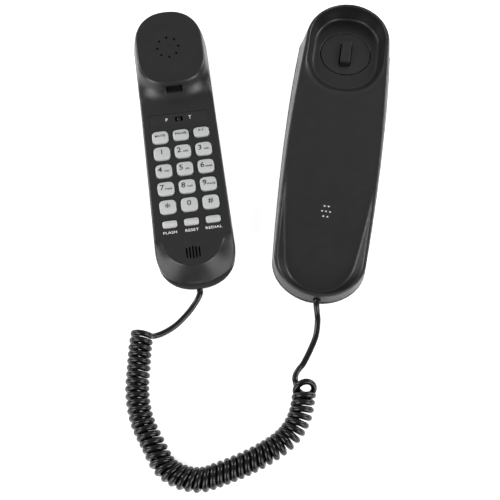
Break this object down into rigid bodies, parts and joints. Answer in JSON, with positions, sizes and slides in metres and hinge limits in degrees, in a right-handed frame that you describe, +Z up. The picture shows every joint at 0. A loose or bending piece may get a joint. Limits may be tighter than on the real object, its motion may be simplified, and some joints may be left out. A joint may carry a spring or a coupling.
{
  "type": "corded wall telephone",
  "caption": "Slim corded push-button telephone: handset with keypad beside its hook-on wall cradle, joined by a coiled cord.",
  "frame": {"origin": "centre of the handset and cradle's common footprint, on the table under them", "axes": "+Z up from the table, +Y towards the ear ends, +X from the handset to the cradle"},
  "size_m": [0.2028, 0.3644, 0.0441],
  "materials": {
    "satin_black_plastic": "satin, fine moulded grain",
    "black_rubber": "soft matt",
    "cord_jacket": "glossy flexible jacket",
    "key_grey": "light grey satin",
    "circuit_board": "green solder mask",
    "switch_plastic": "matt",
    "screw_steel": "bright zinc",
    "spring_steel": "bright",
    "sounder_brass": "satin",
    "white_felt": "felt",
    "keypad_rubber": "matt grey silicone",
    "capsule_metal": "satin",
    "weight_steel": "plain"
  },
  "bodies": {
    "base": {"base_top_cover": "satin_black_plastic", "base_back_plate": "satin_black_plastic", "hook_disc": "satin_black_plastic", "hook_switch_body": "switch_plastic", "base_circuit_board": "circuit_board", "ringer_sounder": "sounder_brass", "ringer_felt": "white_felt", "wall_line_jack": "switch_plastic", "base_screw_upper": "screw_steel", "base_screw_lower": "screw_steel", "base_cord_relief": "black_rubber", "cord_base_lead": "cord_jacket", "cord_coil": "cord_jacket", "cord_handset_lead": "cord_jacket"},
    "hook_plunger": {"hook_plunger": "satin_black_plastic", "hook_spring": "spring_steel"},
    "handset": {"handset_front_cover": "satin_black_plastic", "handset_back_cover": "satin_black_plastic", "keypad_board": "circuit_board", "keypad_mat": "keypad_rubber", "switch_label_plate": "satin_black_plastic", "mode_switch_body": "switch_plastic", "earpiece_capsule": "capsule_metal", "microphone_capsule": "capsule_metal", "microphone_boot": "black_rubber", "ballast_weight": "weight_steel", "handset_screw_ear": "screw_steel", "handset_screw_mouth": "screw_steel", "handset_cord_relief": "black_rubber"},
    "mode_switch_knob": {"mode_switch_knob": "satin_black_plastic"},
    "key_mute": {"key_mute": "key_grey"},
    "key_pause": {"key_pause": "key_grey"},
    "key_pt": {"key_pt": "key_grey"},
    "key_1": {"key_1": "key_grey"},
    "key_2": {"key_2": "key_grey"},
    "key_3": {"key_3": "key_grey"},
    "key_4": {"key_4": "key_grey"},
    "key_5": {"key_5": "key_grey"},
    "key_6": {"key_6": "key_grey"},
    "key_7": {"key_7": "key_grey"},
    "key_8": {"key_8": "key_grey"},
    "key_9": {"key_9": "key_grey"},
    "key_star": {"key_star": "key_grey"},
    "key_0": {"key_0": "key_grey"},
    "key_hash": {"key_hash": "key_grey"},
    "key_flash": {"key_flash": "key_grey"},
    "key_reset": {"key_reset": "key_grey"},
    "key_redial": {"key_redial": "key_grey"}
  },
  "joints": [
    {"name": "hook_plunger_press", "type": "slide", "parent": "base", "child": "hook_plunger", "axis": [0, 0, -1], "range_m": [0, 0.003], "stiffness_N_per_m": 100, "springref_m": -0.002, "deforming": ["hook_spring"]},
    {"name": "handset_to_cradle", "type": "hinge", "parent": "base", "child": "handset", "pos_m": [-0.00577, -0.00297, 0.02601], "axis": [0.0035, 0.9973, 0.0733], "range_deg": [0, 178.7]},
    {"name": "mode_switch_slide", "type": "slide", "parent": "handset", "child": "mode_switch_knob", "axis": [0.9898, 0.1426, 0], "range_m": [-0.0015, 0.0015]},
    {"name": "key_mute_press", "type": "slide", "parent": "handset", "child": "key_mute", "axis": [0, 0, -1], "range_m": [0, 0.0012], "stiffness_N_per_m": 300, "springref_m": -0.0005},
    {"name": "key_pause_press", "type": "slide", "parent": "handset", "child": "key_pause", "axis": [0, 0, -1], "range_m": [0, 0.0012], "stiffness_N_per_m": 300, "springref_m": -0.0005},
    {"name": "key_pt_press", "type": "slide", "parent": "handset", "child": "key_pt", "axis": [0, 0, -1], "range_m": [0, 0.0012], "stiffness_N_per_m": 300, "springref_m": -0.0005},
    {"name": "key_1_press", "type": "slide", "parent": "handset", "child": "key_1", "axis": [0, 0, -1], "range_m": [0, 0.0012], "stiffness_N_per_m": 300, "springref_m": -0.0005},
    {"name": "key_2_press", "type": "slide", "parent": "handset", "child": "key_2", "axis": [0, 0, -1], "range_m": [0, 0.0012], "stiffness_N_per_m": 300, "springref_m": -0.0005},
    {"name": "key_3_press", "type": "slide", "parent": "handset", "child": "key_3", "axis": [0, 0, -1], "range_m": [0, 0.0012], "stiffness_N_per_m": 300, "springref_m": -0.0005},
    {"name": "key_4_press", "type": "slide", "parent": "handset", "child": "key_4", "axis": [0, 0, -1], "range_m": [0, 0.0012], "stiffness_N_per_m": 300, "springref_m": -0.0005},
    {"name": "key_5_press", "type": "slide", "parent": "handset", "child": "key_5", "axis": [0, 0, -1], "range_m": [0, 0.0012], "stiffness_N_per_m": 300, "springref_m": -0.0005},
    {"name": "key_6_press", "type": "slide", "parent": "handset", "child": "key_6", "axis": [0, 0, -1], "range_m": [0, 0.0012], "stiffness_N_per_m": 300, "springref_m": -0.0005},
    {"name": "key_7_press", "type": "slide", "parent": "handset", "child": "key_7", "axis": [0, 0, -1], "range_m": [0, 0.0012], "stiffness_N_per_m": 300, "springref_m": -0.0005},
    {"name": "key_8_press", "type": "slide", "parent": "handset", "child": "key_8", "axis": [0, 0, -1], "range_m": [0, 0.0012], "stiffness_N_per_m": 300, "springref_m": -0.0005},
    {"name": "key_9_press", "type": "slide", "parent": "handset", "child": "key_9", "axis": [0, 0, -1], "range_m": [0, 0.0012], "stiffness_N_per_m": 300, "springref_m": -0.0005},
    {"name": "key_star_press", "type": "slide", "parent": "handset", "child": "key_star", "axis": [0, 0, -1], "range_m": [0, 0.0012], "stiffness_N_per_m": 300, "springref_m": -0.0005},
    {"name": "key_0_press", "type": "slide", "parent": "handset", "child": "key_0", "axis": [0, 0, -1], "range_m": [0, 0.0012], "stiffness_N_per_m": 300, "springref_m": -0.0005},
    {"name": "key_hash_press", "type": "slide", "parent": "handset", "child": "key_hash", "axis": [0, 0, -1], "range_m": [0, 0.0012], "stiffness_N_per_m": 300, "springref_m": -0.0005},
    {"name": "key_flash_press", "type": "slide", "parent": "handset", "child": "key_flash", "axis": [0, 0, -1], "range_m": [0, 0.0012], "stiffness_N_per_m": 300, "springref_m": -0.0005},
    {"name": "key_reset_press", "type": "slide", "parent": "handset", "child": "key_reset", "axis": [0, 0, -1], "range_m": [0, 0.0012], "stiffness_N_per_m": 300, "springref_m": -0.0005},
    {"name": "key_redial_press", "type": "slide", "parent": "handset", "child": "key_redial", "axis": [0, 0, -1], "range_m": [0, 0.0012], "stiffness_N_per_m": 300, "springref_m": -0.0005}
  ]
}
